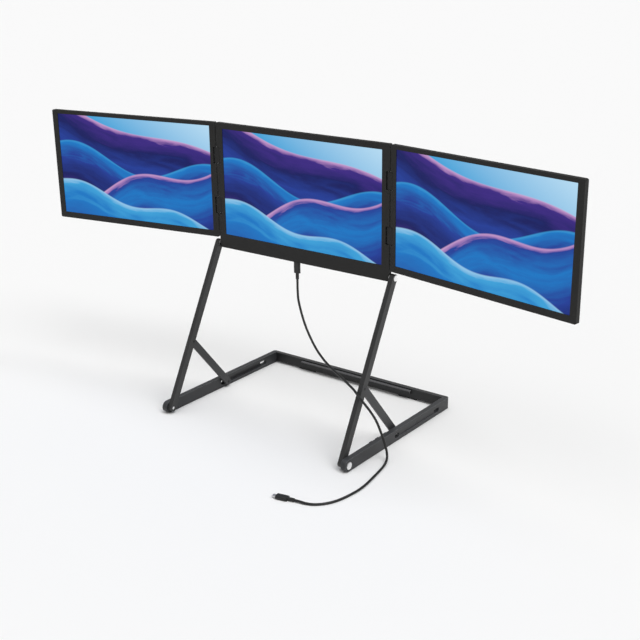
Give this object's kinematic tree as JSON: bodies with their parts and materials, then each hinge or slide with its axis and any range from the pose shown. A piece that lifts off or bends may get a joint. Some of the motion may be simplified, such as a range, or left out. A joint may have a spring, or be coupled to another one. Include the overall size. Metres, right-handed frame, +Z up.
{
  "type": "laptop screen extender",
  "caption": "Folding stand that holds a screen row above a laptop: a centre screen on leaning strutted arms, with side screens on twin-pin hinges.",
  "frame": {"origin": "on the desk, under the middle of the base frame", "axes": "+X to the right as the user sees the screens, +Y away from the user, +Z up"},
  "size_m": [1.1086, 0.4613, 0.518],
  "materials": {
    "rail_metal": "fine satin dark grey coat",
    "weight": "matte black",
    "screw_steel": "plated steel",
    "foot_rubber": "matte",
    "cap_steel": "bright machined steel",
    "pin_steel": "ground steel",
    "washer_plastic": "low-friction plastic",
    "tilt_washer_steel": "ground steel",
    "bezel_plastic": "fine-grained dark grey",
    "cover_metal": "dark anodised",
    "display_glass": "lit display panel",
    "board": "circuit board",
    "socket_metal": "plated shell",
    "button_plastic": "black",
    "link_metal": "satin black",
    "cable_skin": "matte black"
  },
  "bodies": {
    "base": {"left_rail": "rail_metal", "right_rail": "rail_metal", "rear_bar": "rail_metal", "ballast_bar": "weight", "ballast_screws": "screw_steel", "frame_screws": "screw_steel", "rubber_feet": "foot_rubber", "left_base_pin": "cap_steel", "right_base_pin": "cap_steel", "base_washers": "washer_plastic", "usb_cable": "cable_skin", "host_plug_shell": "socket_metal", "host_plug_grip": "cable_skin"},
    "arms": {"left_arm": "rail_metal", "right_arm": "rail_metal", "left_tilt_pin": "cap_steel", "right_tilt_pin": "cap_steel", "tilt_washers": "tilt_washer_steel", "strut_pins": "link_metal"},
    "struts": {"left_strut": "rail_metal", "right_strut": "rail_metal", "foot_pins": "link_metal"},
    "centre_screen": {"centre_bezel": "bezel_plastic", "centre_display": "display_glass", "centre_back_cover": "cover_metal", "centre_driver_board": "board", "centre_usb_sockets": "socket_metal", "left_tilt_bracket": "pin_steel", "right_tilt_bracket": "pin_steel", "centre_screws": "screw_steel", "centre_hinge_pins": "pin_steel", "button_board": "board", "button_switches": "button_plastic", "screen_plug_shell": "socket_metal", "screen_plug_grip": "cable_skin"},
    "power_key": {"power_button": "button_plastic"},
    "brightness_up_key": {"brightness_up_button": "button_plastic"},
    "brightness_down_key": {"brightness_down_button": "button_plastic"},
    "left_links": {"left_hinge_links": "link_metal"},
    "right_links": {"right_hinge_links": "link_metal"},
    "left_screen": {"left_bezel": "bezel_plastic", "left_display": "display_glass", "left_back_cover": "cover_metal", "left_driver_board": "board", "left_screws": "screw_steel", "left_hinge_pins": "pin_steel"},
    "right_screen": {"right_bezel": "bezel_plastic", "right_display": "display_glass", "right_back_cover": "cover_metal", "right_driver_board": "board", "right_screws": "screw_steel", "right_hinge_pins": "pin_steel"}
  },
  "joints": [
    {"name": "arm_fold", "type": "hinge", "parent": "base", "child": "arms", "pos_m": [0, -0.1535, 0.0115], "axis": [1, 0, 0], "range_deg": [-57.4, 0]},
    {"name": "strut_swing", "type": "hinge", "parent": "arms", "child": "struts", "pos_m": [0, -0.09154, 0.12354], "axis": [1, 0, 0], "range_deg": [0, 104]},
    {"name": "panel_tilt", "type": "hinge", "parent": "arms", "child": "centre_screen", "pos_m": [0, -0.00571, 0.2942], "axis": [1, 0, 0], "range_deg": [-30, 30]},
    {"name": "left_screen_fold", "type": "hinge", "parent": "centre_screen", "child": "left_links", "pos_m": [-0.1835, -0.00571, 0.4118], "axis": [0, 0, 1], "range_deg": [-5, 85]},
    {"name": "left_outer_turn", "type": "hinge", "parent": "left_links", "child": "left_screen", "pos_m": [-0.19267, -0.00651, 0.4118], "axis": [0, 0, 1], "range_deg": [-5, 85]},
    {"name": "right_screen_fold", "type": "hinge", "parent": "centre_screen", "child": "right_links", "pos_m": [0.1835, -0.00571, 0.4118], "axis": [0, 0, -1], "range_deg": [-95, 35]},
    {"name": "right_outer_turn", "type": "hinge", "parent": "right_links", "child": "right_screen", "pos_m": [0.19267, -0.00651, 0.4118], "axis": [0, 0, -1], "range_deg": [-95, 35]},
    {"name": "power_press", "type": "slide", "parent": "centre_screen", "child": "power_key", "axis": [0, -1, 0], "range_m": [0, 0.0005], "stiffness_N_per_m": 3000, "springref_m": -0.0002},
    {"name": "brightness_down_press", "type": "slide", "parent": "centre_screen", "child": "brightness_down_key", "axis": [0, -1, 0], "range_m": [0, 0.0005], "stiffness_N_per_m": 3000, "springref_m": -0.0002},
    {"name": "brightness_up_press", "type": "slide", "parent": "centre_screen", "child": "brightness_up_key", "axis": [0, -1, 0], "range_m": [0, 0.0005], "stiffness_N_per_m": 3000, "springref_m": -0.0002}
  ],
  "couplings": [
    {"joint": "strut_swing", "follows": "arm_fold", "ratio": -1.804},
    {"joint": "left_outer_turn", "follows": "left_screen_fold", "ratio": 1},
    {"joint": "right_outer_turn", "follows": "right_screen_fold", "ratio": 1}
  ]
}
